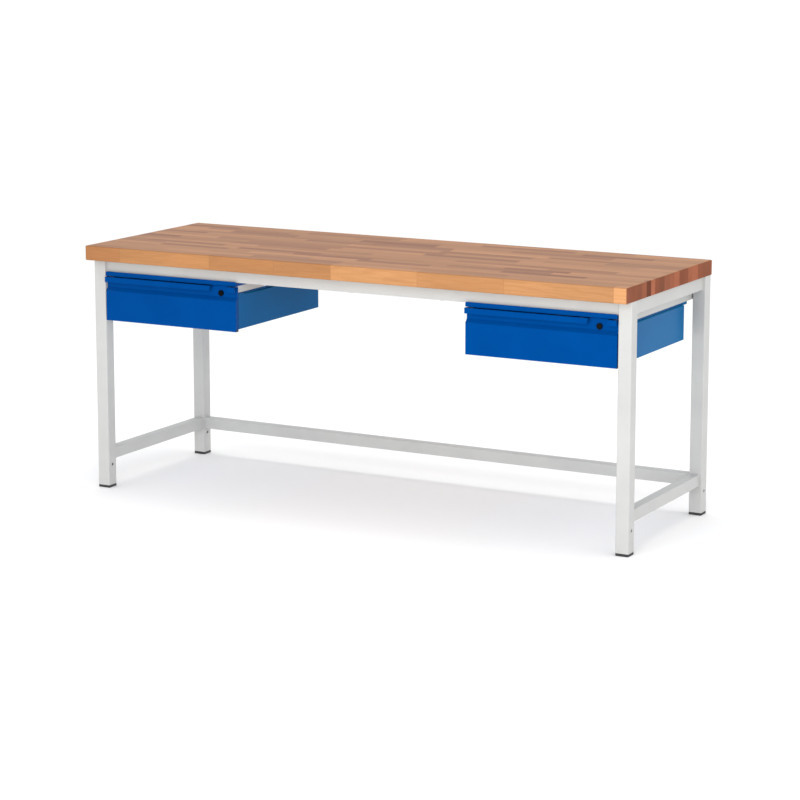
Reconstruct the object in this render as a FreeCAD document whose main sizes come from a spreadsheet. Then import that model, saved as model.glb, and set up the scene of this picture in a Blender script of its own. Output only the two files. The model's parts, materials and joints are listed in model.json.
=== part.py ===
import FreeCAD, Part
import os
import re
import Sketcher

# Workbench, 2 m long: beech top on a welded tube frame, with one lockable drawer unit
# hung under the top beside each pair of legs. Millimetres, +Z up, +X to the user's right,
# -Y towards the user, origin on the floor under the middle of the top.

doc = FreeCAD.newDocument("workbench")

# ---------------------------------------------------------------- driving dimensions
sizes = {
    # worktop
    "top_length": 2000,
    "top_depth": 700,
    "top_thick": 50,
    "top_arris": 4,
    "bench_height": 850,
    # how far the top stands out past the legs
    "end_overhang": 2.5,
    "front_overhang": 47.5,
    "rear_overhang": 2.5,
    # legs, square tube, with a plastic cap in the foot
    "leg_side": 45,
    "leg_wall": 2,
    "leg_corner": 4,
    "leg_bore": 10,
    "leg_bore_height": 80,
    "cap_high": 9,
    "cap_plug_high": 25,
    "cap_plug_gap": 0.3,
    "cap_arris": 1.5,
    # rails under the top and low stretchers, rectangular tube
    "rail_high": 45,
    "rail_deep": 35,
    "stretcher_high": 40,
    "stretcher_deep": 35,
    "stretcher_clear": 98,
    "tube_wall": 2,
    "tube_corner": 3,
    # wood screws through the top rails
    "wood_screw": 6,
    "wood_screw_bite": 30,
    "wood_screw_pitch": 330,
    "end_screw_pitch": 300,
    "screw_head": 12,
    "screw_head_high": 3,
    "screw_gap": 0.1,
    # top cover of a drawer unit
    "front_width": 522,
    "leg_gap": 3,
    "strip_high": 15,
    "strip_lap": 4,
    "strip_corner": 4,
    "cover_sheet": 1.2,
    "cover_return": 16,
    "latch_shelf": 41,
    "latch_slot_left": 24,
    "latch_slot_right": 10,
    "latch_slot_front": 27,
    "latch_slot_deep": 8,
    # hanger rails
    "housing_inset": 1,
    "hanger_high": 22.5,
    "hanger_sheet": 2,
    "hanger_flange": 20,
    "hanger_setback": 0.5,
    "hanger_hole": 4,
    "hanger_hole_in": 5,
    # housing
    "riser_high": 11.5,
    "riser_inset": 8,
    "riser_tail": 41,
    "housing_sheet": 1.2,
    "housing_flange": 15,
    "housing_corner": 1,
    "housing_setback": 18.5,
    "housing_deep": 526,
    "housing_drop": 7,
    "tab_run": 56,
    "unit_screw": 5,
    "unit_screw_bite": 10,
    "unit_screw_in": 50,
    # drawer front
    "front_gap": 3,
    "front_high": 151,
    "front_sheet": 1.5,
    "front_corner": 1.2,
    "lip_out": 7,
    "lip_high": 18.5,
    "lip_bend": 2.2,
    "lip_edge": 0.5,
    "recess_deep": 11,
    "recess_drop": 36.5,
    "slope_high": 12,
    "return_deep": 16,
    "grip_gap": 65,
    "grip_gap_slant": 5,
    "pad_high": 7,
    "pad_wide": 14,
    # drawer box
    "box_sheet": 1.2,
    "box_high": 94,
    "box_lift": 9,
    "box_deep": 498,
    "box_front_drop": 3,
    # slides
    "slide_deep": 13,
    "slide_high": 45,
    "slide_sheet": 1.2,
    "slide_length": 500,
    "slide_gap": 0.3,
    "slide_lift": 53,
    "slide_setback": 5,
    # lock
    "lock_inset": 63,
    "lock_drop": 24.5,
    "bezel": 20,
    "bezel_thick": 5,
    "bezel_arris": 1,
    "barrel": 16,
    "barrel_long": 20,
    "barrel_gap": 0.1,
    "plug": 10,
    "plug_gap": 0.05,
    "plug_proud": 0.4,
    "keyway": 2,
    "keyway_long": 7,
    "keyway_deep": 6,
    "tang": 7,
    "tang_gap": 0.1,
    "nut_across": 22,
    "nut_thick": 5,
    "cam_long": 35,
    "cam_wide": 14,
    "cam_thick": 2,
    "cam_corner": 3,
    "cam_setback": 0.2,
}

sheet = doc.addObject("Spreadsheet::Sheet", "Sizes")
for row, (name, size) in enumerate(sizes.items(), start=1):
    sheet.set("A%d" % row, name)
    sheet.set("B%d" % row, str(size))
    sheet.setAlias("B%d" % row, name)
doc.recompute()


# ---------------------------------------------------------------- places worked out from them
def of(text, **parts):
    """Puts named expressions, each in brackets, into a longer one."""
    return text.format(**{name: "(%s)" % part for name, part in parts.items()})


frame_top = "bench_height - top_thick"
rail_bottom = "bench_height - top_thick - rail_high"
leg_front = "front_overhang - top_depth / 2"
leg_rear = "top_depth / 2 - rear_overhang"
leg_inner_x = "top_length / 2 - end_overhang - leg_side"
leg_inner_front = of("{leg_front} + leg_side", leg_front=leg_front)
leg_inner_rear = of("{leg_rear} - leg_side", leg_rear=leg_rear)

unit_centre = of("{inner} - leg_gap - front_width / 2", inner=leg_inner_x)
strip_bottom = of("{rail} + strip_lap - strip_high", rail=rail_bottom)
cover_high = "strip_high - strip_lap"
cover_front = of("{leg_front} + cover_sheet", leg_front=leg_front)
cover_rear = of("{inner} + rail_deep", inner=leg_inner_rear)
hanger_bottom = of("{strip} - hanger_high", strip=strip_bottom)
hanger_front = of("{leg_front} + return_deep + hanger_setback", leg_front=leg_front)
hanger_screw_in = "hanger_flange / 2"
housing_screw_in = "riser_inset + housing_flange / 2"
housing_wide = "front_width - 2 * housing_inset"
housing_front = of("{leg_front} + housing_setback", leg_front=leg_front)
front_bottom = of("{strip} - front_gap - front_high", strip=strip_bottom)
housing_bottom = of("{front} + housing_drop", front=front_bottom)
ledge_height = of("{hanger} - riser_high", hanger=hanger_bottom)
lock_x = "front_width / 2 - lock_inset"
lock_z = of("{strip} - front_gap - lock_drop", strip=strip_bottom)
recess_face = of("{leg_front} + recess_deep", leg_front=leg_front)
box_front = of("{recess} + front_sheet", recess=recess_face)
box_wide = of("{wide} - 2 * housing_sheet - 2 * slide_deep", wide=housing_wide)
slide_front = of("{front} + slide_setback", front=housing_front)
slide_middle_z = of("{bottom} + slide_lift", bottom=housing_bottom)
plug_long = "bezel_thick + plug_proud + barrel_long"


# ---------------------------------------------------------------- helpers
def link(text):
    """An expression for setExpression: every size named in it is read from the sheet."""
    return re.sub(r"\b(?!sqrt\b)[A-Za-z_]\w*", r"Sizes.\g<0>", text)


def number(text):
    """The value that an expression of sizes has now."""
    return float(sheet.evalExpression(text))


subparts = []


def new_body(label, x="0", y="0", z="0"):
    """A named piece whose own corner or axis stands at x, y, z."""
    body = doc.addObject("PartDesign::Body", label)
    body.Label = label
    for axis, place in zip("xyz", (x, y, z)):
        body.setExpression("Placement.Base." + axis, link(place))
    subparts.append(body)
    return body


def new_sketch(body, plane, raised="0"):
    """A sketch on one of the body's origin planes, raised along the plane's normal."""
    sketch = body.newObject("Sketcher::SketchObject", body.Name + "_sketch")
    role = plane + "_Plane"
    support = next(item for item in body.Origin.OriginFeatures if item.Role == role)
    sketch.AttachmentSupport = [(support, "")]
    sketch.MapMode = "FlatFace"
    sketch.setExpression("AttachmentOffset.Base.z", link(raised))
    return sketch


def hold(sketch, geometry, point, across, up):
    """Ties one sketch point to the sketch's axes; a place of nothing lies on the axis itself."""
    for kind, place, axis in (("DistanceX", across, -2), ("DistanceY", up, -1)):
        if abs(number(place)) < 1e-9:
            sketch.addConstraint(Sketcher.Constraint("PointOnObject", geometry, point, axis))
            continue
        rule = Sketcher.Constraint(kind, -1, 1, geometry, point, number(place))
        index = sketch.addConstraint(rule)
        sketch.setExpression("Constraints[%d]" % index, link(place))


def draw_outline(sketch, corners):
    """A closed outline of straight edges through the corners, each a pair of expressions."""
    places = [FreeCAD.Vector(number(across), number(up), 0) for across, up in corners]
    first = sketch.GeometryCount
    count = len(corners)
    for index in range(count):
        edge = Part.LineSegment(places[index], places[(index + 1) % count])
        sketch.addGeometry(edge, False)
    for index in range(count):
        following = first + (index + 1) % count
        sketch.addConstraint(Sketcher.Constraint("Coincident", first + index, 2, following, 1))
    for index, (across, up) in enumerate(corners):
        hold(sketch, first + index, 1, across, up)


def draw_rectangle(sketch, left, low, right, high):
    draw_outline(sketch, [(left, low), (right, low), (right, high), (left, high)])


def draw_circle(sketch, across, up, diameter):
    centre = FreeCAD.Vector(number(across), number(up), 0)
    circle = Part.Circle(centre, FreeCAD.Vector(0, 0, 1), number(diameter) / 2)
    index = sketch.addGeometry(circle, False)
    hold(sketch, index, 3, across, up)
    rule = sketch.addConstraint(Sketcher.Constraint("Diameter", index, number(diameter)))
    sketch.setExpression("Constraints[%d]" % rule, link(diameter))


def pad(body, sketch, length, backwards=False):
    feature = body.newObject("PartDesign::Pad", body.Name + "_pad")
    feature.Profile = sketch
    feature.setExpression("Length", link(length))
    feature.Reversed = backwards
    sketch.Visibility = False
    doc.recompute()
    return feature


def pocket(body, sketch, length=None, backwards=False):
    """Cuts along the sketch's normal, or through everything both ways if no length is given."""
    before = body.Shape.Volume
    feature = body.newObject("PartDesign::Pocket", body.Name + "_pocket")
    feature.Profile = sketch
    if length is None:
        feature.Type = "ThroughAll"
        feature.Midplane = True
    else:
        feature.setExpression("Length", link(length))
        feature.Reversed = backwards
    doc.recompute()
    if before - body.Shape.Volume < 0.1:
        raise RuntimeError("%s: a pocket cuts nothing" % body.Label)
    return feature


def edges_along(body, axis, chosen):
    """Names of the straight edges along an axis whose middle, in the body's frame, is chosen."""
    shape = body.Tip.Shape
    names = []
    for index, edge in enumerate(shape.Edges, start=1):
        start, end = edge.Vertexes[0].Point, edge.Vertexes[-1].Point
        run = end - start
        if run.Length > 0 and abs(abs(getattr(run, axis)) - run.Length) < 1e-6:
            if chosen((start + end) * 0.5):
                names.append("Edge%d" % index)
    return names


def fillet(body, names, radius):
    feature = body.newObject("PartDesign::Fillet", body.Name + "_fillet")
    feature.Base = (feature.BaseFeature, names)
    feature.setExpression("Radius", link(radius))
    doc.recompute()
    return feature


def near(value, expression):
    return abs(value - number(expression)) < 1e-4


def one_of(value, *expressions):
    return any(near(value, expression) for expression in expressions)


# ---------------------------------------------------------------- worktop and frame
def worktop_screw_places():
    """Screw axes: three in each long rail, clear of the drawer units, and two in each end rail."""
    rail_y = (
        of("{front} - rail_deep / 2", front=leg_inner_front),
        of("{rear} + rail_deep / 2", rear=leg_inner_rear),
    )
    places = [("%s * wood_screw_pitch" % step, y) for y in rail_y for step in ("(-1)", "0", "1")]
    end_x = of("{inner} + rail_deep / 2", inner=leg_inner_x)
    for x in (of("-{end}", end=end_x), end_x):
        for sign in "-+":
            places.append((x, "(front_overhang - rear_overhang) / 2 %s end_screw_pitch / 2" % sign))
    return places


def draw_worktop_screws(sketch, diameter):
    """One circle for each screw, in a sketch whose origin is the top's left front corner."""
    for x, y in worktop_screw_places():
        across = of("{x} + top_length / 2", x=x)
        up = of("{y} + top_depth / 2", y=y)
        draw_circle(sketch, across, up, diameter)


def make_worktop():
    body = new_body("worktop", "-top_length / 2", "-top_depth / 2", frame_top)
    board = new_sketch(body, "XY")
    draw_rectangle(board, "0", "0", "top_length", "top_depth")
    pad(body, board, "top_thick")
    holes = new_sketch(body, "XY")
    draw_worktop_screws(holes, "wood_screw + 2 * screw_gap")
    pocket(body, holes, "wood_screw_bite + screw_gap", backwards=True)
    ends = ("0", "top_length")
    sides = ("0", "top_depth")
    faces = ("0", "top_thick")
    rim = edges_along(body, "x", lambda p: one_of(p.y, *sides) and one_of(p.z, *faces))
    rim += edges_along(body, "y", lambda p: one_of(p.x, *ends) and one_of(p.z, *faces))
    rim += edges_along(body, "z", lambda p: one_of(p.x, *ends) and one_of(p.y, *sides))
    fillet(body, rim, "top_arris")


def make_worktop_screws():
    body = new_body("worktop_screws", "-top_length / 2", "-top_depth / 2", rail_bottom)
    shanks = new_sketch(body, "XY")
    draw_worktop_screws(shanks, "wood_screw")
    pad(body, shanks, "rail_high + wood_screw_bite")
    heads = new_sketch(body, "XY")
    draw_worktop_screws(heads, "screw_head")
    pad(body, heads, "screw_head_high", backwards=True)


def make_leg(label, x, y):
    body = new_body(label, x, y, "cap_high")
    outer = new_sketch(body, "XY")
    draw_rectangle(outer, "0", "0", "leg_side", "leg_side")
    pad(body, outer, of("{top} - cap_high", top=frame_top))
    fillet(body, edges_along(body, "z", lambda p: True), "leg_corner")
    far = "leg_side - leg_wall"
    inner = new_sketch(body, "XY")
    draw_rectangle(inner, "leg_wall", "leg_wall", far, far)
    pocket(body, inner)
    inside = edges_along(body, "z", lambda p: one_of(p.x, "leg_wall", far))
    fillet(body, inside, "leg_corner - leg_wall")
    bore = new_sketch(body, "YZ")
    draw_circle(bore, "leg_side / 2", "leg_bore_height - cap_high", "leg_bore")
    pocket(body, bore)


def make_foot_cap(label, x, y):
    body = new_body(label, x, y)
    plate = new_sketch(body, "XY")
    draw_rectangle(plate, "0", "0", "leg_side", "leg_side")
    pad(body, plate, "cap_high")
    fillet(body, edges_along(body, "z", lambda p: True), "leg_corner")
    low = "leg_wall + cap_plug_gap"
    high = "leg_side - leg_wall - cap_plug_gap"
    plug = new_sketch(body, "XY", "cap_high")
    draw_rectangle(plug, low, low, high, high)
    pad(body, plug, "cap_plug_high")
    upright = edges_along(body, "z", lambda p: p.z > number("cap_high"))
    fillet(body, upright, "leg_corner - leg_wall")
    rim = edges_along(body, "x", lambda p: near(p.z, "0"))
    rim += edges_along(body, "y", lambda p: near(p.z, "0"))
    fillet(body, rim, "cap_arris")


def make_tube(label, axis, place, length, high, deep):
    """Rectangular tube along x or y, its lowest corner at the given place."""
    body = new_body(label, *place)
    plane, backwards = ("YZ", False) if axis == "x" else ("XZ", True)
    outer = new_sketch(body, plane)
    draw_rectangle(outer, "0", "0", deep, high)
    pad(body, outer, length, backwards)
    fillet(body, edges_along(body, axis, lambda p: True), "tube_corner")
    far = of("{deep} - tube_wall", deep=deep)
    inner = new_sketch(body, plane)
    draw_rectangle(inner, "tube_wall", "tube_wall", far, of("{high} - tube_wall", high=high))
    pocket(body, inner)
    side = "y" if axis == "x" else "x"
    inside = edges_along(body, axis, lambda p: one_of(getattr(p, side), "tube_wall", far))
    fillet(body, inside, "tube_corner - tube_wall")
    return body


def drill_tube(body, places, diameter, depth=None):
    """Upright holes through both walls, or up through the lower wall only if a depth is given."""
    holes = new_sketch(body, "XY")
    for x, y in places:
        draw_circle(holes, x, y, diameter)
    pocket(body, holes, depth, backwards=depth is not None)


def make_frame():
    legs_x = {"left": of("-{inner} - leg_side", inner=leg_inner_x), "right": leg_inner_x}
    legs_y = {"front": leg_front, "rear": leg_inner_rear}
    for side, x in legs_x.items():
        for row, y in legs_y.items():
            make_leg("leg_%s_%s" % (row, side), x, y)
            make_foot_cap("foot_cap_%s_%s" % (row, side), x, y)

    between_legs = of("2 * {inner}", inner=leg_inner_x)
    inner_left = of("-{inner}", inner=leg_inner_x)
    screw_hole = "wood_screw + 2 * screw_gap"
    unit_hole = "unit_screw + 2 * screw_gap"
    rails_y = {"front": of("{front} - rail_deep", front=leg_inner_front), "rear": leg_inner_rear}
    for row, y in rails_y.items():
        place = (inner_left, y, rail_bottom)
        rail = make_tube("top_rail_" + row, "x", place, between_legs, "rail_high", "rail_deep")
        steps = ["%s + %s * wood_screw_pitch" % (leg_inner_x, step) for step in ("(-1)", "0", "1")]
        drill_tube(rail, [(x, "rail_deep / 2") for x in steps], screw_hole)
        unit_holes = [of("{x} + {inner}", x=x, inner=leg_inner_x) for x in hanger_screw_x()]
        drill_tube(rail, [(x, "rail_deep / 2") for x in unit_holes], unit_hole, "tube_wall")
    place = (inner_left, leg_inner_rear, "stretcher_clear")
    make_tube("stretcher_rear", "x", place, between_legs, "stretcher_high", "stretcher_deep")

    depth_run = of("{rear} - {front}", rear=leg_inner_rear, front=leg_inner_front)
    end_holes = [
        ("rail_deep / 2", of("{run} / 2 %s end_screw_pitch / 2" % sign, run=depth_run))
        for sign in "-+"
    ]
    for side in ("left", "right"):
        rail_x = leg_inner_x
        low_x = leg_inner_x
        if side == "left":
            rail_x = of("-{inner} - rail_deep", inner=leg_inner_x)
            low_x = of("-{inner} - stretcher_deep", inner=leg_inner_x)
        place = (rail_x, leg_inner_front, rail_bottom)
        rail = make_tube("top_rail_" + side, "y", place, depth_run, "rail_high", "rail_deep")
        drill_tube(rail, end_holes, screw_hole)
        place = (low_x, leg_inner_front, "stretcher_clear")
        make_tube("stretcher_" + side, "y", place, depth_run, "stretcher_high", "stretcher_deep")


# ---------------------------------------------------------------- drawer units
def unit_x(side):
    """Middle of a unit. The two are alike and stand beside the left and the right legs."""
    return of("-{centre}" if side == "left" else "{centre}", centre=unit_centre)


def both_ends(wide, inward):
    """Two places, the same way in from the left end and from the right end of a width."""
    return inward, of("{wide} - {inward}", wide=wide, inward=inward)


def hanger_screw_x():
    """Where the four hanger rails are screwed up into each long top rail."""
    places = []
    for side in ("left", "right"):
        corner = of("{x} - {wide} / 2", x=unit_x(side), wide=housing_wide)
        for inward in both_ends(housing_wide, hanger_screw_in):
            places.append(of("{corner} + {inward}", corner=corner, inward=inward))
    return places


def hanger_screw_y():
    """The middles of the front and the rear top rail."""
    return [
        of("{inner} - rail_deep / 2", inner=leg_inner_front),
        of("{inner} + rail_deep / 2", inner=leg_inner_rear),
    ]


def housing_screw_y():
    """Front, middle and rear screws that hold the housing to a hanger rail."""
    middle = of("{front} + housing_deep / 2", front=housing_front)
    return ["%s + %s * (housing_deep / 2 - unit_screw_in)" % (middle, step) for step in ("(-1)", "0", "1")]


def draw_grid(sketch, across, rows, origin, diameter):
    """Circles at every crossing of the across places and the rows, the rows taken from an origin."""
    for x in across:
        for y in rows:
            draw_circle(sketch, x, of("{y} - {origin}", y=y, origin=origin), diameter)


def make_cover(side):
    """Shallow tray over the unit: top sheet, rim turned down, lips turned in, and the front strip."""
    corner = of("{x} - front_width / 2", x=unit_x(side))
    deep = of("{rear} - {front}", rear=cover_rear, front=cover_front)
    body = new_body(side + "_top_cover", corner, cover_front, strip_bottom)
    tray = new_sketch(body, "XY")
    draw_rectangle(tray, "0", "0", "front_width", deep)
    pad(body, tray, cover_high)
    hollow = new_sketch(body, "XY", "cover_sheet")
    left, right = both_ends("front_width", "cover_sheet")
    draw_rectangle(hollow, left, "cover_sheet", right, of("{deep} - cover_sheet", deep=deep))
    pocket(body, hollow, of("{high} - 2 * cover_sheet", high=cover_high), backwards=True)
    opening = new_sketch(body, "XY")
    left, right = both_ends("front_width", "hanger_flange + cover_return")
    draw_rectangle(opening, left, "latch_shelf", right, of("{deep} - cover_return - rail_deep", deep=deep))
    pocket(body, opening, "cover_sheet", backwards=True)
    slot = new_sketch(body, "XY")
    lock_across = "front_width - lock_inset"
    slot_left = lock_across + " - latch_slot_left"
    slot_right = lock_across + " + latch_slot_right"
    draw_rectangle(slot, slot_left, "latch_slot_front", slot_right, "latch_slot_front + latch_slot_deep")
    pocket(body, slot, "cover_sheet", backwards=True)
    strip = new_sketch(body, "XZ")
    draw_rectangle(strip, "0", "0", "front_width", "strip_high")
    pad(body, strip, "cover_sheet")
    upper = edges_along(body, "y", lambda p: near(p.z, "strip_high"))
    fillet(body, upper, "strip_corner")
    holes = new_sketch(body, "XY")
    across = both_ends("front_width", "housing_inset + " + hanger_screw_in)
    draw_grid(holes, across, hanger_screw_y(), cover_front, "unit_screw + 2 * screw_gap")
    pocket(body, holes)


def make_hanger(side, hand):
    """C-shaped rail, open towards the unit's middle, between the cover and the housing."""
    corner = of("{x} - {wide} / 2", x=unit_x(side), wide=housing_wide)
    if hand == "right":
        corner = of("{corner} + {wide} - hanger_flange", corner=corner, wide=housing_wide)

    def across(inward):
        return inward if hand == "left" else "hanger_flange - (%s)" % inward

    body = new_body("%s_hanger_rail_%s" % (side, hand), corner, hanger_front, hanger_bottom)
    web, tip = across("hanger_sheet"), across("hanger_flange")
    section = new_sketch(body, "XZ")
    draw_outline(section, [
        (across("0"), "0"),
        (tip, "0"),
        (tip, "hanger_sheet"),
        (web, "hanger_sheet"),
        (web, "hanger_high - hanger_sheet"),
        (tip, "hanger_high - hanger_sheet"),
        (tip, "hanger_high"),
        (across("0"), "hanger_high"),
    ])
    pad(body, section, of("{rear} - {front}", rear=cover_rear, front=hanger_front), backwards=True)
    hole = "unit_screw + 2 * screw_gap"
    top_holes = new_sketch(body, "XY", "hanger_high")
    draw_grid(top_holes, [across(hanger_screw_in)], hanger_screw_y(), hanger_front, hole)
    pocket(body, top_holes, "hanger_sheet")
    low_holes = new_sketch(body, "XY")
    draw_grid(low_holes, [across(housing_screw_in)], housing_screw_y(), hanger_front, hole)
    pocket(body, low_holes, "hanger_sheet", backwards=True)
    pilot = new_sketch(body, "YZ")
    draw_circle(pilot, "hanger_hole_in", "hanger_high / 3", "hanger_hole")
    pocket(body, pilot)


def make_housing(side):
    """Open-topped case whose side walls step inwards below the hanger rails."""
    wide = housing_wide
    corner = of("{x} - {wide} / 2", x=unit_x(side), wide=wide)
    body = new_body(side + "_housing", corner, housing_front, housing_bottom)
    wall_high = of("{ledge} - {bottom}", ledge=ledge_height, bottom=housing_bottom)
    full_high = of("{hanger} - {bottom}", hanger=hanger_bottom, bottom=housing_bottom)
    ledge_low = of("{wall} - housing_sheet", wall=wall_high)
    case = new_sketch(body, "XY")
    draw_rectangle(case, "0", "0", wide, "housing_deep")
    pad(body, case, wall_high)
    outside = edges_along(body, "z", lambda p: near(p.y, "housing_deep"))
    outside += edges_along(body, "y", lambda p: near(p.z, "0"))
    outside += edges_along(body, "x", lambda p: near(p.z, "0") and near(p.y, "housing_deep"))
    fillet(body, outside, "housing_corner")
    inside = new_sketch(body, "XY", "housing_sheet")
    left, right = both_ends(wide, "housing_sheet")
    draw_rectangle(inside, left, "0", right, "housing_deep - housing_sheet")
    pocket(body, inside, wall_high, backwards=True)

    # each folded edge: in from the wall, from and to, how deep, at what height and how high
    wall_in = "riser_inset + housing_sheet"
    tail = "housing_deep + riser_tail"
    folds = (
        ("0", wall_in, "housing_deep", ledge_low, "housing_sheet"),
        ("riser_inset", wall_in, tail, ledge_low, "riser_high + housing_sheet"),
        ("riser_inset", "riser_inset + housing_flange", tail, of("{full} - housing_sheet", full=full_high),
         "housing_sheet"),
    )
    for near_in, far_in, deep, low, high in folds:
        fold = new_sketch(body, "XY", low)
        near_left, near_right = both_ends(wide, near_in)
        far_left, far_right = both_ends(wide, far_in)
        draw_rectangle(fold, near_left, "0", far_left, deep)
        draw_rectangle(fold, far_right, "0", near_right, deep)
        pad(body, fold, high)
    for raised in ("0", of("{wide} - housing_sheet", wide=wide)):
        tab = new_sketch(body, "YZ", raised)
        draw_outline(tab, [("0", wall_high), ("tab_run", wall_high), ("0", full_high)])
        pad(body, tab, "housing_sheet")
    holes = new_sketch(body, "XY", full_high)
    across = both_ends(wide, housing_screw_in)
    draw_grid(holes, across, housing_screw_y(), housing_front, "unit_screw + 2 * screw_gap")
    pocket(body, holes, "housing_sheet")


def make_unit_screws(side):
    """Two groups: up into the top rails, and up through the housing's flanges."""
    corner = of("{x} - {wide} / 2", x=unit_x(side), wide=housing_wide)
    groups = (
        ("_hanger_screws", of("{strip} - hanger_sheet", strip=strip_bottom), hanger_screw_in,
         hanger_screw_y(), of("hanger_sheet + {cover} + tube_wall + unit_screw_bite", cover=cover_high)),
        ("_housing_screws", of("{hanger} - housing_sheet", hanger=hanger_bottom), housing_screw_in,
         housing_screw_y(), "housing_sheet + hanger_sheet + unit_screw_bite / 2"),
    )
    for name, seat, inward, rows, length in groups:
        body = new_body(side + name, corner, leg_front, seat)
        across = both_ends(housing_wide, inward)
        shanks = new_sketch(body, "XY")
        draw_grid(shanks, across, rows, leg_front, "unit_screw")
        pad(body, shanks, length)
        heads = new_sketch(body, "XY")
        draw_grid(heads, across, rows, leg_front, "2 * unit_screw")
        pad(body, heads, "screw_head_high", backwards=True)


def make_slides(side):
    """Telescopic slides: outer member on the housing, middle member, inner member on the drawer."""
    outer_half = "slide_high / 2"
    middle_half = of("{half} - slide_sheet - slide_gap", half=outer_half)
    inner_half = of("{half} - slide_sheet - slide_gap", half=middle_half)
    flange_tip = "slide_deep - slide_sheet - slide_gap"
    # each member: the two faces of its web and its flange tips, counted from the housing's wall
    members = (
        ("outer", "0", "slide_sheet", flange_tip, outer_half),
        ("middle", "slide_sheet + slide_gap", "2 * slide_sheet + slide_gap", flange_tip, middle_half),
        ("inner", "slide_deep", "slide_deep - slide_sheet", "2 * slide_sheet + 2 * slide_gap", inner_half),
    )
    reach = of("{wide} / 2 - housing_sheet", wide=housing_wide)
    z = of("{middle} - slide_high / 2", middle=slide_middle_z)
    for hand in ("left", "right"):
        corner = of("{x} - {reach}", x=unit_x(side), reach=reach)
        if hand == "right":
            corner = of("{x} + {reach} - slide_deep", x=unit_x(side), reach=reach)
        for member, back, face, tip, half in members:
            body = new_body("%s_slide_%s_%s" % (side, member, hand), corner, slide_front, z)
            if hand == "right":
                back, face, tip = ("slide_deep - (%s)" % place for place in (back, face, tip))
            low, high = both_ends("slide_high", of("slide_high / 2 - {half}", half=half))
            section = new_sketch(body, "XZ")
            draw_outline(section, [
                (back, low),
                (tip, low),
                (tip, low + " + slide_sheet"),
                (face, low + " + slide_sheet"),
                (face, high + " - slide_sheet"),
                (tip, high + " - slide_sheet"),
                (tip, high),
                (back, high),
            ])
            pad(body, section, "slide_length", backwards=True)


def make_drawer_box(side):
    """Open box of folded sheet. Its front wall stands higher, against the back of the front's recess."""
    corner = of("{x} - {wide} / 2", x=unit_x(side), wide=box_wide)
    bottom = of("{bottom} + box_lift", bottom=housing_bottom)
    body = new_body(side + "_drawer_box", corner, box_front, bottom)
    tray = new_sketch(body, "XY")
    draw_rectangle(tray, "0", "0", box_wide, "box_deep")
    pad(body, tray, "box_high")
    inside = new_sketch(body, "XY", "box_sheet")
    left, right = both_ends(box_wide, "box_sheet")
    draw_rectangle(inside, left, "box_sheet", right, "box_deep - box_sheet")
    pocket(body, inside, "box_high", backwards=True)
    wall = new_sketch(body, "XZ")
    recess_top = of("{strip} - front_gap - front_sheet", strip=strip_bottom)
    wall_top = of("{top} - box_front_drop - {bottom}", top=recess_top, bottom=bottom)
    draw_rectangle(wall, "0", "0", box_wide, wall_top)
    pad(body, wall, "box_sheet", backwards=True)
    hole = new_sketch(body, "XZ")
    across = of("{lock} + {wide} / 2", lock=lock_x, wide=box_wide)
    up = of("{lock} - {bottom}", lock=lock_z, bottom=bottom)
    draw_circle(hole, across, up, "barrel + 2 * barrel_gap")
    pocket(body, hole)


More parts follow.
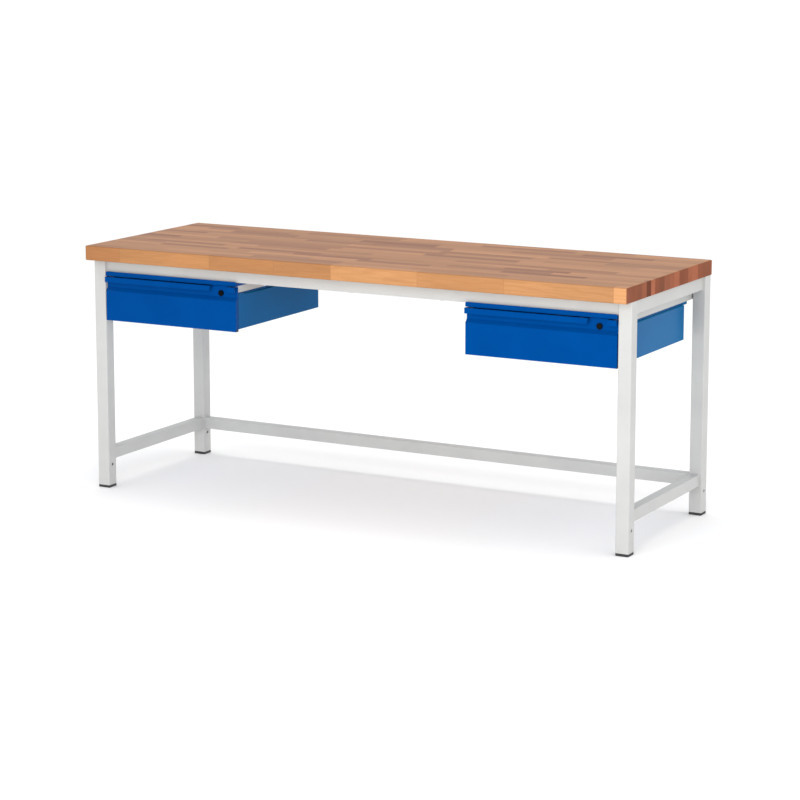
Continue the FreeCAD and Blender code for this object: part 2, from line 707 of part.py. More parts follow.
def make_drawer_front(side):
    """Folded front: flat panel, slope and recess for the fingers, and a lip that hangs over the recess."""
    corner = of("{x} - front_width / 2", x=unit_x(side))
    body = new_body(side + "_drawer_front", corner, of("{front} - lip_out", front=leg_front), front_bottom)
    panel = "lip_out"
    panel_back = "lip_out + front_sheet"
    recess = "lip_out + recess_deep"
    recess_back = "lip_out + recess_deep + front_sheet"
    back = "lip_out + return_deep"
    slope_top = "front_high - recess_drop"
    slope_foot = "front_high - recess_drop - slope_high"
    top_back = "front_high - front_sheet"
    # how much lower a corner lies on the sheet's back than on its face
    fold = "front_sheet * (sqrt(recess_deep ^ 2 + slope_high ^ 2) - slope_high) / recess_deep"
    behind = [
        (recess_back, of("{top} - {fold}", top=slope_top, fold=fold)),
        (panel_back, of("{foot} - {fold}", foot=slope_foot, fold=fold)),
    ]
    profile = new_sketch(body, "YZ")
    draw_outline(profile, [
        (panel, "0"),
        (panel, slope_foot),
        (recess, slope_top),
        (recess, top_back),
        ("front_sheet", top_back),
        ("front_sheet", "front_high - lip_high"),
        ("0", "front_high - lip_high"),
        ("0", "front_high"),
        (recess_back, "front_high"),
    ] + behind + [
        (panel_back, "front_sheet"),
        (back, "front_sheet"),
        (back, "0"),
    ])
    pad(body, profile, "front_width")

    # side returns stand on the corner pads and follow the back of the panel
    for raised in ("0", "front_width - front_sheet"):
        flank = new_sketch(body, "YZ", raised)
        draw_outline(flank, [
            (panel_back, "pad_high"),
            (back, "pad_high"),
            (back, top_back),
            (recess_back, top_back),
        ] + behind)
        pad(body, flank, "front_sheet")
    pads = new_sketch(body, "XY")
    draw_pads(pads, panel_back, back)
    pocket(body, pads, "front_sheet", backwards=True)

    # the lip is cut away round the lock, and slants back on the left
    middle = "front_width - lock_inset"
    wide_left = middle + " - grip_gap / 2 - grip_gap_slant"
    grip_gap = new_sketch(body, "XZ")
    draw_outline(grip_gap, [
        (wide_left, slope_top),
        (middle + " + grip_gap / 2", slope_top),
        (middle + " + grip_gap / 2", "front_high"),
        (middle + " - grip_gap / 2", "front_high"),
        (wide_left, "front_high - lip_high"),
    ])
    pocket(body, grip_gap, recess)
    hole = new_sketch(body, "XZ")
    draw_circle(hole, middle, "front_high - lock_drop", "barrel + 2 * barrel_gap")
    pocket(body, hole)

    fillet(body, edges_along(body, "x", lambda p: near(p.y, "0") and near(p.z, "front_high")), "lip_bend")
    lip_foot = edges_along(body, "x", lambda p: near(p.y, "0") and near(p.z, "front_high - lip_high"))
    fillet(body, lip_foot, "lip_edge")
    rim = edges_along(body, "z", lambda p: near(p.y, panel) and one_of(p.x, "0", "front_width"))
    rim += edges_along(body, "x", lambda p: near(p.y, panel) and near(p.z, "0"))
    fillet(body, rim, "front_corner")


def draw_pads(sketch, front, rear):
    """The two lower corners of a drawer front, seen from above."""
    left, right = both_ends("front_width", "pad_wide")
    draw_rectangle(sketch, "0", front, left, rear)
    draw_rectangle(sketch, right, front, "front_width", rear)


def make_corner_pads(side):
    corner = of("{x} - front_width / 2", x=unit_x(side))
    panel_back = of("{front} + front_sheet", front=leg_front)
    body = new_body(side + "_corner_pads", corner, panel_back, front_bottom)
    blocks = new_sketch(body, "XY")
    draw_pads(blocks, "0", "return_deep - front_sheet")
    pad(body, blocks, "pad_high")


def draw_square(sketch, side):
    half = of("{side} / 2", side=side)
    draw_rectangle(sketch, "-" + half, "-" + half, half, half)


def make_lock(side):
    """Cam lock in the grip gap: fixed body and nut, and a plug and a cam that turn together."""
    x = of("{x} + {lock}", x=unit_x(side), lock=lock_x)
    body = new_body(side + "_lock_body", x, recess_face, lock_z)
    bezel = new_sketch(body, "XZ")
    draw_circle(bezel, "0", "0", "bezel")
    pad(body, bezel, "bezel_thick")
    rim = [
        "Edge%d" % index
        for index, edge in enumerate(body.Tip.Shape.Edges, start=1)
        if edge.isClosed() and near(edge.CenterOfMass.y, "-bezel_thick")
    ]
    fillet(body, rim, "bezel_arris")
    barrel = new_sketch(body, "XZ")
    draw_circle(barrel, "0", "0", "barrel")
    pad(body, barrel, "barrel_long", backwards=True)
    bore = new_sketch(body, "XZ")
    draw_circle(bore, "0", "0", "plug + 2 * plug_gap")
    pocket(body, bore)

    plug_face = of("{face} - bezel_thick - plug_proud", face=recess_face)
    plug = new_body(side + "_lock_plug", x, plug_face, lock_z)
    core = new_sketch(plug, "XZ")
    draw_circle(core, "0", "0", "plug")
    pad(plug, core, plug_long, backwards=True)
    tang = new_sketch(plug, "XZ", of("-{long}", long=plug_long))
    draw_square(tang, "tang")
    pad(plug, tang, "cam_thick + 2 * cam_setback", backwards=True)
    keyway = new_sketch(plug, "XZ")
    draw_rectangle(keyway, "-keyway / 2", "-keyway_long / 2", "keyway / 2", "keyway_long / 2")
    pocket(plug, keyway, "keyway_deep")

    nut = new_body(side + "_lock_nut", x, of("{box} + box_sheet", box=box_front), lock_z)
    point, flat, half = "nut_across / sqrt(3)", "nut_across / 2", "nut_across / (2 * sqrt(3))"
    hexagon = new_sketch(nut, "XZ")
    draw_outline(hexagon, [
        (point, "0"),
        (half, flat),
        ("-" + half, flat),
        ("-" + point, "0"),
        ("-" + half, "-" + flat),
        (half, "-" + flat),
    ])
    draw_circle(hexagon, "0", "0", "barrel + 2 * barrel_gap")
    pad(nut, hexagon, "nut_thick", backwards=True)

    cam_face = of("{face} + barrel_long + cam_setback", face=recess_face)
    cam = new_body(side + "_lock_cam", x, cam_face, lock_z)
    plate = new_sketch(cam, "XZ")
    draw_rectangle(plate, "-cam_long", "-cam_wide / 2", "cam_wide / 2", "cam_wide / 2")
    draw_square(plate, "(tang + 2 * tang_gap)")
    pad(cam, plate, "cam_thick", backwards=True)
    fillet(cam, edges_along(cam, "y", lambda p: one_of(abs(p.z), "cam_wide / 2")), "cam_corner")


def make_unit(side):
    make_cover(side)
    make_hanger(side, "left")
    make_hanger(side, "right")
    make_housing(side)
    make_unit_screws(side)
    make_slides(side)
    make_drawer_box(side)
    make_drawer_front(side)
    make_corner_pads(side)
    make_lock(side)


# ---------------------------------------------------------------- build, check and write
make_worktop()
make_worktop_screws()
make_frame()
for side in ("left", "right"):
    make_unit(side)
doc.recompute()

for item in doc.Objects:
    if {"Invalid", "Error"} & set(item.State):
        raise RuntimeError("%s failed: %s" % (item.Label, item.State))
for body in subparts:
    if body.Shape.isNull() or not body.Shape.isValid():
        raise RuntimeError("%s has no valid shape" % body.Label)

os.makedirs("parts", exist_ok=True)
for body in subparts:
    body.Shape.exportStep("parts/%s.step" % body.Label)
print("%d nodes written" % len(subparts))
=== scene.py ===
import json
import math

import bmesh
import bpy
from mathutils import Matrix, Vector


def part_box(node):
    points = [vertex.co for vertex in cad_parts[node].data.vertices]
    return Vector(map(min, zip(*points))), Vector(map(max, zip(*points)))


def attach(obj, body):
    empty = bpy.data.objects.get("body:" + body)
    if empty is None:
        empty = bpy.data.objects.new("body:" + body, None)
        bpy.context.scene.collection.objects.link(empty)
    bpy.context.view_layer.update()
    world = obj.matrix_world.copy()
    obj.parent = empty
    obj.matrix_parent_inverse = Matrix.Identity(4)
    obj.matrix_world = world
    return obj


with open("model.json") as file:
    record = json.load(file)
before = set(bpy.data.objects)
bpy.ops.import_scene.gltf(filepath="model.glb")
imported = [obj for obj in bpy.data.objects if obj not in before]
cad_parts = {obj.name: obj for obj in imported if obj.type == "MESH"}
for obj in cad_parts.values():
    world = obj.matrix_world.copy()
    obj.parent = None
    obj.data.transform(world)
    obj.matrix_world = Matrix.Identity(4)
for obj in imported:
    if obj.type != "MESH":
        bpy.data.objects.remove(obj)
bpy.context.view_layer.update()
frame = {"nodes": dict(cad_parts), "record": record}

mm = 0.001

# noise hardly leaves the first range, and the second one gives patches with more contrast
noiseRange = {"From Min": 0.3, "From Max": 0.7}
patchRange = {"From Min": 0.35, "From Max": 0.65}

# the Mix node's number and colour sockets share their names, so the colour ones go by number
mixShare, mixFirst, mixSecond, mixedColour = 0, 6, 7, 2


# sRGB to linear
def linearColour(hexValue):
    parts = [int(hexValue[i:i + 2], 16) / 255 for i in (1, 3, 5)]
    return [c / 12.92 if c <= 0.04045 else ((c + 0.055) / 1.055) ** 2.4 for c in parts] + [1.0]


# a setting named like one of the node's own properties goes there, any other to that input
def addNode(tree, kind, settings=None, links=None):
    node = tree.nodes.new(kind)
    inputs = {}
    for key, value in (settings or {}).items():
        if isinstance(key, str) and hasattr(node, key):
            setattr(node, key, value)
        else:
            inputs[key] = value
    for key, value in inputs.items():
        node.inputs[key].default_value = value
    for key, source in (links or {}).items():
        tree.links.new(source, node.inputs[key])
    return node


# the place is in metres, so a pattern's scale is one over its size
def newMaterial(name, **shaderValues):
    material = bpy.data.materials.new(name)
    material.use_nodes = True
    tree = material.node_tree
    shader = tree.nodes["Principled BSDF"]
    for socket, value in shaderValues.items():
        shader.inputs[socket.replace("_", " ")].default_value = value
    place = addNode(tree, "ShaderNodeTexCoord").outputs["Object"]
    return material, tree, shader, place


beech = {
    "light": "#C48F60",
    "mid": "#AC7B4F",
    "midPlace": 0.45,  # where the middle tone lies between dark and light
    "dark": "#8C5735",
    "ring": "#9F6C40",
    "glue": "#7F4D2E",
    "topShadeTint": "#DED5D0",  # painted shade: faces that point up are multiplied by this, so the top reads darker and browner than the edges
    "endGrainAndShadeTint": "#C3A0AD",  # end grain drinks more oil and turns darker and redder; this tint also paints shade onto the end faces
    "endSpread": {"To Min": 0.7, "To Max": 1.3},  # how far the staves differ in tone at the ends
    "staveWidth": 38 * mm,
    "widthSpread": 0.6,  # 0 makes all staves alike, 1 as uneven as they get
    "staveLength": 310 * mm,
    "lengthSpread": 0.95,
    "rowShift": 83.4,  # staves by which a row may start further along
    "logReach": (9.0, 0.09, 0.05),  # metres of the log, along and across, that staves come from
    "heartHeight": 900 * mm,  # where the log's heart would lie above the floor
    "ringSpacing": 3.2 * mm,
    "ringStart": -0.2,  # how dark a ring's wave, from -1 to 1, has to be before it shows
    "ringStrength": 0.26,
    "ringDrift": 24 * mm,  # how far the rings stray from true circles
    "driftLength": 416.7 * mm,
    "driftWidth": 71.43 * mm,
    "driftLight": {"To Min": 0.90, "To Max": 1.07},
    "fibreWidth": 2.6 * mm,  # drawn about ten times too coarse, because the real ones don't show
    "fibreLength": 83 * mm,
    "fibreLight": {"To Min": 0.90, "To Max": 1.08},
    "poreWidth": 0.7 * mm,  # the real ones are 0.1 mm wide and don't show
    "poreLength": 2.5 * mm,
    "pores": {"From Min": 0.62, "From Max": 0.76, "To Max": 0.4},  # only the peaks of the noise
    "glueLine": 0.8 * mm,  # about 0.1 mm in the real top, drawn coarser so that it shows
    "glueStrength": 0.55,
    "roughness": {"To Min": 0.40, "To Max": 0.52},
    "endRoughness": 0.3,  # added where the end grain is cut open
    "gloss": 0.15,
    "relief": {"Strength": 0.25, "Distance": 0.1 * mm},
}


# steamed beech, planed and oiled: warm pinkish-brown staves that differ in tone, with satin gloss
def makeOiledBeech():
    material, tree, shader, place = newMaterial("oiledSteamedBeech",
                                                Specular_IOR_Level=beech["gloss"])
    axes = addNode(tree, "ShaderNodeSeparateXYZ", links={0: place}).outputs

    # rows of staves side by side across the depth, not all of one width
    rowPlace = addNode(tree, "ShaderNodeMath",
                       {"operation": "MULTIPLY", 1: 1 / beech["staveWidth"]},
                       {0: axes["Y"]}).outputs[0]
    rowPattern = {"voronoi_dimensions": "1D", "Scale": 1.0, "Randomness": beech["widthSpread"]}
    row = addNode(tree, "ShaderNodeTexVoronoi", rowPattern, {"W": rowPlace})
    rowEdge = addNode(tree, "ShaderNodeTexVoronoi",
                      {**rowPattern, "feature": "DISTANCE_TO_EDGE"}, {"W": rowPlace})
    rowTone = addNode(tree, "ShaderNodeSeparateColor", links={0: row.outputs["Color"]}).outputs

    # staves of uneven length along each row, which start at another place in every row
    rowShift = addNode(tree, "ShaderNodeMath",
                       {"operation": "MULTIPLY", 1: beech["rowShift"]},
                       {0: rowTone["Red"]}).outputs[0]
    stavePlace = addNode(tree, "ShaderNodeMath",
                         {"operation": "MULTIPLY_ADD", 1: 1 / beech["staveLength"]},
                         {0: axes["X"], 2: rowShift}).outputs[0]
    stavePattern = {"voronoi_dimensions": "1D", "Scale": 1.0, "Randomness": beech["lengthSpread"]}
    stave = addNode(tree, "ShaderNodeTexVoronoi", stavePattern, {"W": stavePlace})
    staveEdge = addNode(tree, "ShaderNodeTexVoronoi",
                        {**stavePattern, "feature": "DISTANCE_TO_EDGE"}, {"W": stavePlace})
    staveTone = addNode(tree, "ShaderNodeSeparateColor", links={0: stave.outputs["Color"]}).outputs

    # each stave is sawn from another place of the log
    sawn = addNode(tree, "ShaderNodeVectorMath",
                   {"operation": "MULTIPLY_ADD", 1: beech["logReach"],
                    2: (0.0, 0.0, -beech["heartHeight"])},
                   {0: stave.outputs["Color"]}).outputs[0]
    logPlace = addNode(tree, "ShaderNodeVectorMath", {"operation": "ADD"},
                       {0: place, 1: sawn}).outputs[0]
    logAxes = addNode(tree, "ShaderNodeSeparateXYZ", links={0: logPlace}).outputs

    # year rings round the heart, which stray from true circles
    across = addNode(tree, "ShaderNodeCombineXYZ",
                     links={"Y": logAxes["Y"], "Z": logAxes["Z"]}).outputs[0]
    radius = addNode(tree, "ShaderNodeVectorMath", {"operation": "LENGTH"},
                     {0: across}).outputs["Value"]
    driftScale = (1 / beech["driftLength"], 1 / beech["driftWidth"], 1 / beech["driftWidth"])
    driftPlace = addNode(tree, "ShaderNodeMapping", {"Scale": driftScale},
                         {0: logPlace}).outputs[0]
    drift = addNode(tree, "ShaderNodeTexNoise",
                    {"Scale": 1.0, "Detail": 3.0, "Roughness": 0.45},
                    {"Vector": driftPlace}).outputs[0]
    bent = addNode(tree, "ShaderNodeMath", {"operation": "MULTIPLY_ADD", 1: beech["ringDrift"]},
                   {0: drift, 2: radius}).outputs[0]
    turns = addNode(tree, "ShaderNodeMath",
                    {"operation": "MULTIPLY", 1: 2 * math.pi / beech["ringSpacing"]},
                    {0: bent}).outputs[0]
    wave = addNode(tree, "ShaderNodeMath", {"operation": "SINE"}, {0: turns}).outputs[0]
    ringShare = addNode(tree, "ShaderNodeMapRange",
                        {"From Min": beech["ringStart"], "To Max": beech["ringStrength"]},
                        {"Value": wave}).outputs[0]

    # fibres and small dark pores, long along the stave
    fibreScale = (1 / beech["fibreLength"], 1 / beech["fibreWidth"], 1 / beech["fibreWidth"])
    fibrePlace = addNode(tree, "ShaderNodeMapping", {"Scale": fibreScale},
                         {0: logPlace}).outputs[0]
    fibre = addNode(tree, "ShaderNodeTexNoise",
                    {"Scale": 1.0, "Detail": 4.0, "Roughness": 0.6},
                    {"Vector": fibrePlace}).outputs[0]
    poreScale = (1 / beech["poreLength"], 1 / beech["poreWidth"], 1 / beech["poreWidth"])
    porePlace = addNode(tree, "ShaderNodeMapping", {"Scale": poreScale},
                        {0: logPlace}).outputs[0]
    pore = addNode(tree, "ShaderNodeTexNoise", {"Scale": 1.0, "Detail": 1.0},
                   {"Vector": porePlace}).outputs[0]
    poreShare = addNode(tree, "ShaderNodeMapRange", beech["pores"], {"Value": pore}).outputs[0]

    # the stave's own tone, with its rings, fibres and broad lights and darks
    tone = addNode(tree, "ShaderNodeValToRGB", links={"Fac": staveTone["Green"]})
    tone.color_ramp.elements[0].color = linearColour(beech["dark"])
    tone.color_ramp.elements[1].color = linearColour(beech["light"])
    tone.color_ramp.elements.new(beech["midPlace"]).color = linearColour(beech["mid"])
    ringed = addNode(tree, "ShaderNodeMix",
                     {"data_type": "RGBA", mixSecond: linearColour(beech["ring"])},
                     {mixShare: ringShare, mixFirst: tone.outputs["Color"]}).outputs[mixedColour]
    fibreLight = addNode(tree, "ShaderNodeMapRange", {**noiseRange, **beech["fibreLight"]},
                         {"Value": fibre}).outputs[0]
    driftLight = addNode(tree, "ShaderNodeMapRange", {**noiseRange, **beech["driftLight"]},
                         {"Value": drift}).outputs[0]
    light = addNode(tree, "ShaderNodeMath", {"operation": "MULTIPLY"},
                    {0: fibreLight, 1: driftLight}).outputs[0]
    grained = addNode(tree, "ShaderNodeVectorMath", {"operation": "SCALE"},
                      {0: ringed, "Scale": light}).outputs[0]

    # which way the wood faces: up, or end-on, with a short passage round each edge
    facing = addNode(tree, "ShaderNodeNewGeometry").outputs["Normal"]
    facingAxes = addNode(tree, "ShaderNodeSeparateXYZ", links={0: facing}).outputs
    passage = {"From Min": 0.2, "From Max": 0.9}
    topShadeShare = addNode(tree, "ShaderNodeMapRange", passage,
                      {"Value": facingAxes["Z"]}).outputs[0]
    endOn = addNode(tree, "ShaderNodeMath", {"operation": "ABSOLUTE"},
                    {0: facingAxes["X"]}).outputs[0]
    endShare = addNode(tree, "ShaderNodeMapRange", passage, {"Value": endOn}).outputs[0]
    # painted shade: the top's colour is multiplied by its tint, so it is darker than the edges
    topShaded = addNode(tree, "ShaderNodeMix",
                     {"data_type": "RGBA", "blend_type": "MULTIPLY",
                      mixSecond: linearColour(beech["topShadeTint"])},
                     {mixShare: topShadeShare, mixFirst: grained}).outputs[mixedColour]
    # the ends' tint: darker, redder end grain and painted shade in one
    endDarkenedAndShaded = addNode(tree, "ShaderNodeMix",
                     {"data_type": "RGBA", "blend_type": "MULTIPLY",
                      mixSecond: linearColour(beech["endGrainAndShadeTint"])},
                     {mixShare: endShare, mixFirst: topShaded}).outputs[mixedColour]
    endLight = addNode(tree, "ShaderNodeMapRange", beech["endSpread"],
                       {"Value": staveTone["Blue"]}).outputs[0]
    varied = addNode(tree, "ShaderNodeVectorMath", {"operation": "SCALE"},
                     {0: endDarkenedAndShaded, "Scale": endLight}).outputs[0]
    ended = addNode(tree, "ShaderNodeMix", {"data_type": "RGBA"},
                    {mixShare: endShare, mixFirst: endDarkenedAndShaded, mixSecond: varied}).outputs[mixedColour]
    pored = addNode(tree, "ShaderNodeMix",
                    {"data_type": "RGBA", mixSecond: linearColour(beech["glue"])},
                    {mixShare: poreShare, mixFirst: ended}).outputs[mixedColour]

    # glue lines between the staves, dark and very slightly sunk
    rowGap = addNode(tree, "ShaderNodeMath", {"operation": "MULTIPLY", 1: beech["staveWidth"]},
                     {0: rowEdge.outputs["Distance"]}).outputs[0]
    staveGap = addNode(tree, "ShaderNodeMath", {"operation": "MULTIPLY", 1: beech["staveLength"]},
                       {0: staveEdge.outputs["Distance"]}).outputs[0]
    nearest = addNode(tree, "ShaderNodeMath", {"operation": "MINIMUM"},
                      {0: rowGap, 1: staveGap}).outputs[0]
    glue = addNode(tree, "ShaderNodeMapRange",
                   {"From Max": beech["glueLine"], "To Min": beech["glueStrength"], "To Max": 0.0},
                   {"Value": nearest}).outputs[0]
    glued = addNode(tree, "ShaderNodeMix",
                    {"data_type": "RGBA", mixSecond: linearColour(beech["glue"])},
                    {mixShare: glue, mixFirst: pored}).outputs[mixedColour]
    tree.links.new(glued, shader.inputs["Base Color"])

    dullness = addNode(tree, "ShaderNodeMapRange", {**noiseRange, **beech["roughness"]},
                       {"Value": fibre}).outputs[0]
    endDullness = addNode(tree, "ShaderNodeMath",
                          {"operation": "MULTIPLY_ADD", 1: beech["endRoughness"]},
                          {0: endShare, 2: dullness}).outputs[0]
    tree.links.new(endDullness, shader.inputs["Roughness"])
    height = addNode(tree, "ShaderNodeMath", {"operation": "SUBTRACT"},
                     {0: fibre, 1: glue}).outputs[0]
    bump = addNode(tree, "ShaderNodeBump", beech["relief"], {"Height": height}).outputs[0]
    tree.links.new(bump, shader.inputs["Normal"])
    return material


powder = {
    "ior": 1.5,
    "patch": 142.9 * mm,  # faint patches where the layer is a little thicker
    "relief": {"Strength": 0.5, "Distance": 0.03 * mm},
    "coats": {
        # light grey polyester powder on the tube frame: faint orange peel, satin
        "lightGreyPowderCoat": {
            "colour": "#B7B8B6",
            "shade": "#B2B2B1",
            "gloss": 0.4,
            "shine": "#FFFFFF",
            "glance": 0.0,
            "sheenTint": "#FFFFFF",
            "roughness": {"To Min": 0.38, "To Max": 0.46},
            "peel": 1.6 * mm,
        },
        # gentian blue polyester powder on folded sheet: deep, even blue, satin
        "gentianBluePowderCoat": {
            "colour": "#004084",
            "shade": "#003D80",
            "gloss": 0.08,
            "shine": "#0090FF",
            "glance": 0.0,
            "sheenTint": "#FFFFFF",
            "roughness": {"To Min": 0.16, "To Max": 0.24},
            "peel": 2.2 * mm,
        },
        # the same blue with a finer texture on the housings, in its own copy with a cyan painted
        # sheen that makes their sides look paler and greener than the fronts
        "gentianBlueSheenLitCoat": {
            "colour": "#003E7F",
            "shade": "#003B7B",
            "gloss": 0.08,
            "shine": "#0090FF",
            "glance": 0.44,
            "sheenTint": "#00D4FF",
            "roughness": {"To Min": 0.16, "To Max": 0.24},
            "peel": 1.2 * mm,
        },
    },
}


def makePowderCoat(name):
    coat = powder["coats"][name]
    material, tree, shader, place = newMaterial(name, IOR=powder["ior"],
                                                Specular_IOR_Level=coat["gloss"],
                                                Specular_Tint=linearColour(coat["shine"]),
                                                Sheen_Weight=coat["glance"],
                                                Sheen_Tint=linearColour(coat["sheenTint"]))
    patch = addNode(tree, "ShaderNodeTexNoise", {"Scale": 1 / powder["patch"], "Detail": 3.0},
                    {"Vector": place}).outputs[0]
    patchShare = addNode(tree, "ShaderNodeMapRange", patchRange, {"Value": patch}).outputs[0]
    colour = addNode(tree, "ShaderNodeMix",
                     {"data_type": "RGBA", mixFirst: linearColour(coat["colour"]),
                      mixSecond: linearColour(coat["shade"])},
                     {mixShare: patchShare}).outputs[mixedColour]
    tree.links.new(colour, shader.inputs["Base Color"])

    peel = addNode(tree, "ShaderNodeTexNoise",
                   {"Scale": 1 / coat["peel"], "Detail": 2.0, "Roughness": 0.5},
                   {"Vector": place}).outputs[0]
    dullness = addNode(tree, "ShaderNodeMapRange", {**noiseRange, **coat["roughness"]},
                       {"Value": peel}).outputs[0]
    tree.links.new(dullness, shader.inputs["Roughness"])
    bump = addNode(tree, "ShaderNodeBump", powder["relief"], {"Height": peel}).outputs[0]
    tree.links.new(bump, shader.inputs["Normal"])
    return material


plastic = {
    "colour": "#1A1B1C",
    "worn": "#2B2C2D",
    "wear": {"From Min": 0.4, "From Max": 0.7},  # the grain's peaks are worn paler
    "ior": 1.53,
    "roughness": {"To Min": 0.45, "To Max": 0.65},
    "grain": 0.8 * mm,
    "relief": {"Strength": 0.6, "Distance": 0.05 * mm},
}


# black polyamide, moulded: fine spark-eroded grain that breaks up the gloss
def makeMouldedPolyamide():
    material, tree, shader, place = newMaterial("blackMouldedPolyamide", IOR=plastic["ior"])
    grain = addNode(tree, "ShaderNodeTexNoise", {"Scale": 1 / plastic["grain"], "Detail": 3.0},
                    {"Vector": place}).outputs[0]
    wornShare = addNode(tree, "ShaderNodeMapRange", plastic["wear"], {"Value": grain}).outputs[0]
    colour = addNode(tree, "ShaderNodeMix",
                     {"data_type": "RGBA", mixFirst: linearColour(plastic["colour"]),
                      mixSecond: linearColour(plastic["worn"])},
                     {mixShare: wornShare}).outputs[mixedColour]
    tree.links.new(colour, shader.inputs["Base Color"])
    dullness = addNode(tree, "ShaderNodeMapRange", plastic["roughness"],
                       {"Value": grain}).outputs[0]
    tree.links.new(dullness, shader.inputs["Roughness"])
    bump = addNode(tree, "ShaderNodeBump", plastic["relief"], {"Height": grain}).outputs[0]
    tree.links.new(bump, shader.inputs["Normal"])
    return material


plating = {
    "metallic": 1.0,
    "relief": {"Strength": 0.3, "Distance": 0.02 * mm},
    "metals": {
        # steel, bright zinc plated: pale bluish, with faint drawing lines and a soft cloudy shine
        "brightZincPlatedSteel": {
            "colour": "#C6CACD",
            "shade": "#A9AEB2",
            "roughness": {"To Min": 0.24, "To Max": 0.40},
            "grain": (33 * mm, 1.1 * mm, 1.1 * mm),  # coarser than real lines, so that they show
        },
        # brass, black nickel plated: the lock's plug, as dark as its body, with a warm shine
        "blackNickelPlatedBrass": {
            "colour": "#1F1E1C",
            "shade": "#161514",
            "roughness": {"To Min": 0.22, "To Max": 0.38},
            "grain": (1.4 * mm, 1.4 * mm, 1.4 * mm),
        },
        # die-cast zinc, black chromated: the lock's body, nearly black with a dull shine
        "blackChromatedZinc": {
            "colour": "#15171A",
            "shade": "#0E0F11",
            "roughness": {"To Min": 0.30, "To Max": 0.46},
            "grain": (2.0 * mm, 2.0 * mm, 2.0 * mm),
        },
    },
}


def makePlatedMetal(name):
    metal = plating["metals"][name]
    material, tree, shader, place = newMaterial(name, Metallic=plating["metallic"])
    drawn = addNode(tree, "ShaderNodeMapping", {"Scale": [1 / size for size in metal["grain"]]},
                    {0: place}).outputs[0]
    lines = addNode(tree, "ShaderNodeTexNoise", {"Scale": 1.0, "Detail": 3.0},
                    {"Vector": drawn}).outputs[0]
    lineShare = addNode(tree, "ShaderNodeMapRange", patchRange, {"Value": lines}).outputs[0]
    colour = addNode(tree, "ShaderNodeMix",
                     {"data_type": "RGBA", mixFirst: linearColour(metal["colour"]),
                      mixSecond: linearColour(metal["shade"])},
                     {mixShare: lineShare}).outputs[mixedColour]
    tree.links.new(colour, shader.inputs["Base Color"])
    dullness = addNode(tree, "ShaderNodeMapRange", metal["roughness"],
                       {"Value": lines}).outputs[0]
    tree.links.new(dullness, shader.inputs["Roughness"])
    bump = addNode(tree, "ShaderNodeBump", plating["relief"], {"Height": lines}).outputs[0]
    tree.links.new(bump, shader.inputs["Normal"])
    return material


finishOfSlot = {
    "oiled_beech": makeOiledBeech(),
    "grey_paint": makePowderCoat("lightGreyPowderCoat"),
    "blue_paint": makePowderCoat("gentianBluePowderCoat"),
    "black_plastic": makeMouldedPolyamide(),
    "black_lock": makePlatedMetal("blackChromatedZinc"),
    "lock_steel": makePlatedMetal("blackNickelPlatedBrass"),
    "zinc_steel": makePlatedMetal("brightZincPlatedSteel"),
}
# the housings get the copy of the blue with the painted sheen
housingSheenLitFinish = makePowderCoat("gentianBlueSheenLitCoat")
print("materials made:", len(finishOfSlot) + 1)

for part in frame["record"]["subparts"]:
    housing = part["node"].endswith("_housing")
    finish = housingSheenLitFinish if housing else finishOfSlot[part["material_slot"]]
    mesh = frame["nodes"][part["node"]].data
    mesh.materials.clear()
    mesh.materials.append(finish)


weld = {
    "radius": 1.8 * mm,
    "ripple": 0.3 * mm,  # how far the bead swells at each drop
    "dropLength": 3.0 * mm,
    "step": 1.0 * mm,
    "sides": 8,
    "tubeCorner": 3 * mm,
    "cornerSteps": 6,
    "topGap": 2 * mm,  # the seam stops this far below the worktop
}


# points and outward directions round a tube's section: all round a closed one, and otherwise
# down one side, under it and up the other
def tubeSection(low, high, closed):
    corner = weld["tubeCorner"]
    centres = [(low[0] + corner, low[1] + corner), (high[0] - corner, low[1] + corner)]
    starts = [math.pi, 1.5 * math.pi]
    if closed:
        centres += [(high[0] - corner, high[1] - corner), (low[0] + corner, high[1] - corner)]
        starts += [0.0, 0.5 * math.pi]
    path = []
    for (across, up), start in zip(centres, starts):
        for i in range(weld["cornerSteps"] + 1):
            angle = start + 0.5 * math.pi * i / weld["cornerSteps"]
            out = (math.cos(angle), math.sin(angle))
            path.append(((across + corner * out[0], up + corner * out[1]), out))
    if closed:
        path.append(path[0])
    else:
        top = high[1] - weld["topGap"]
        path = [((low[0], top), (-1.0, 0.0))] + path + [((high[0], top), (1.0, 0.0))]

    section = []
    for (start, out), (end, nextOut) in zip(path, path[1:]):
        count = max(1, round(math.dist(start, end) / weld["step"]))
        for i in range(count):
            share = i / count
            section.append((Vector(start).lerp(Vector(end), share),
                            Vector(out).lerp(Vector(nextOut), share)))
    if not closed:
        section.append((Vector(path[-1][0]), Vector(path[-1][1])))
    return section


# a bead of weld round the end of one tube, where it stands against a leg
def addWeldSeam(shape, section, closed, run, end, inward):
    rings = []
    for index, (point, out) in enumerate(section):
        drop = abs(math.sin(math.pi * index * weld["step"] / weld["dropLength"]))
        radius = weld["radius"] + weld["ripple"] * (drop - 0.5)
        ring = []
        for i in range(weld["sides"]):
            angle = 2 * math.pi * i / weld["sides"]
            flat = point + out * radius * math.cos(angle)
            place = [flat[0], flat[0], flat[1]]
            place[run] = end + inward * radius * math.sin(angle)
            ring.append(shape.verts.new(place))
        rings.append(ring)
    pairs = list(zip(rings, rings[1:])) + ([(rings[-1], rings[0])] if closed else [])
    for ring, following in pairs:
        for i in range(weld["sides"]):
            j = (i + 1) % weld["sides"]
            shape.faces.new((ring[i], ring[j], following[j], following[i]))
    if not closed:
        shape.faces.new(rings[0])
        shape.faces.new(reversed(rings[-1]))


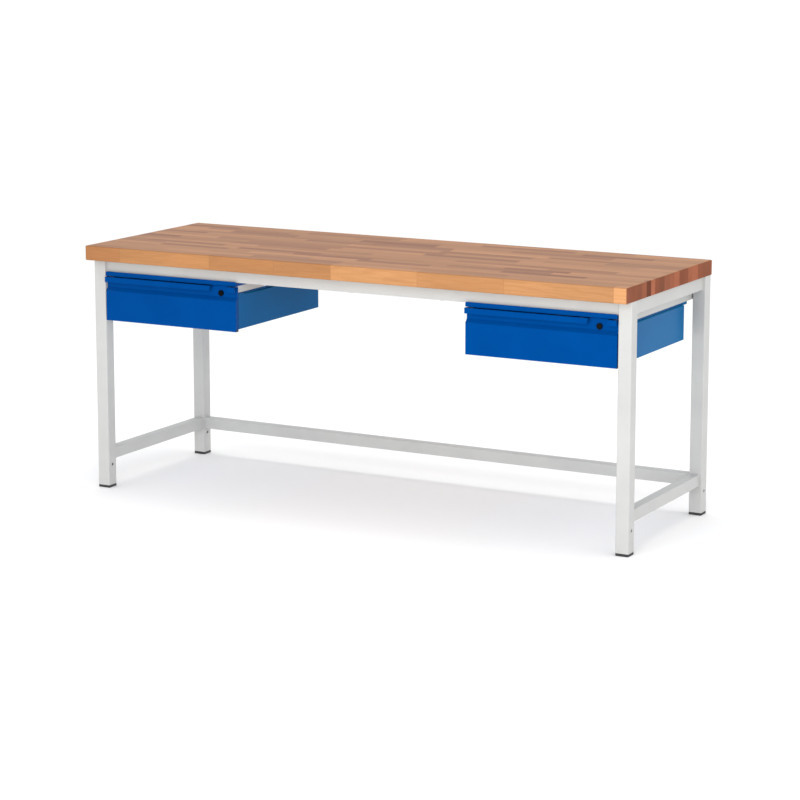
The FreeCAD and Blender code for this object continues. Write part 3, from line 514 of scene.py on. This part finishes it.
def makeWeldSeams():
    shape = bmesh.new()
    tubes = ["top_rail_front", "top_rail_rear", "top_rail_left", "top_rail_right",
             "stretcher_rear", "stretcher_left", "stretcher_right"]
    for tube in tubes:
        low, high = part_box(tube)
        run = 0 if high[0] - low[0] > high[1] - low[1] else 1  # the tube lies along x or along y
        side = 1 - run
        closed = tube.startswith("stretcher")  # the worktop lies on the rails
        section = tubeSection((low[side], low[2]), (high[side], high[2]), closed)
        addWeldSeam(shape, section, closed, run, low[run], 1.0)
        addWeldSeam(shape, section, closed, run, high[run], -1.0)
    bmesh.ops.recalc_face_normals(shape, faces=shape.faces)
    for face in shape.faces:
        face.smooth = True
    mesh = bpy.data.meshes.new("weldSeams")
    shape.to_mesh(mesh)
    shape.free()
    mesh.materials.append(finishOfSlot["grey_paint"])
    seams = bpy.data.objects.new("weldSeams", mesh)
    bpy.context.collection.objects.link(seams)
    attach(seams, "frame")
    print("tubes welded:", len(tubes))


makeWeldSeams()


studio = {
    "floor": "#F7F7F7",
    "floorReach": 30.0,  # metres from the middle to each side
    "world": "#FFFFFF",
    "worldStrength": 1.08,
    "target": (0.0, 0.0, 0.5),  # where all the softboxes point
    "softboxes": {
        "key": {"power": 28.0, "size": (1.6, 1.2), "place": (0.9, -3.2, 2.0)},
        "front": {"power": 60.0, "size": (4.0, 1.4), "place": (0.9, -4.5, 0.9)},
        "side": {"power": 30.0, "size": (3.0, 1.4), "place": (5.0, -0.8, 0.9)},
        "top": {"power": 24.0, "size": (3.0, 1.6), "place": (0.0, 0.3, 3.6)},
    },
}


def makeFloor():
    shape = bmesh.new()
    bmesh.ops.create_grid(shape, x_segments=8, y_segments=8, size=studio["floorReach"])
    mesh = bpy.data.meshes.new("studioFloor")
    shape.to_mesh(mesh)
    shape.free()
    floor = bpy.data.objects.new("studioFloor", mesh)
    bpy.context.collection.objects.link(floor)
    material = newMaterial("matteWhiteFloor", Base_Color=linearColour(studio["floor"]),
                           Roughness=0.9, Specular_IOR_Level=0.2)[0]
    mesh.materials.append(material)


def makeSoftbox(name, power, size, place):
    light = bpy.data.lights.new(name, "AREA")
    light.shape = "RECTANGLE"
    light.size, light.size_y = size
    light.energy = power
    lamp = bpy.data.objects.new(name, light)
    lamp.location = place
    lamp.visible_camera = False
    aim = Vector(studio["target"]) - Vector(place)
    lamp.rotation_euler = aim.to_track_quat("-Z", "Y").to_euler()
    bpy.context.collection.objects.link(lamp)


def makeWorld():
    world = bpy.data.worlds.new("paleStudio")
    world.use_nodes = True
    background = world.node_tree.nodes["Background"]
    background.inputs["Color"].default_value = linearColour(studio["world"])
    background.inputs["Strength"].default_value = studio["worldStrength"]
    bpy.context.scene.world = world
    bpy.context.scene.view_settings.view_transform = "Standard"


makeFloor()
for name, softbox in studio["softboxes"].items():
    makeSoftbox(name + "Softbox", **softbox)
makeWorld()
print("studio set:", len(studio["softboxes"]), "softboxes")


view = {
    "place": (3.9579, -7.2335, 2.0056),
    "yaw": 28.509,  # degrees from straight along +Y, towards -X
    "pitch": 9.528,  # degrees down
    "lens": 112.339,
    "sensor": 36.0,
    "shiftY": -0.1,
    "farthest": 100.0,
}
cameraData = bpy.data.cameras.new("studioCamera")
cameraData.sensor_width = view["sensor"]
cameraData.lens = view["lens"]
cameraData.shift_y = view["shiftY"]
cameraData.clip_end = view["farthest"]
camera = bpy.data.objects.new("studioCamera", cameraData)
camera.location = view["place"]
camera.rotation_euler = (math.radians(90 - view["pitch"]), 0.0, math.radians(view["yaw"]))
bpy.context.collection.objects.link(camera)
bpy.context.scene.camera = camera
print("camera placed")
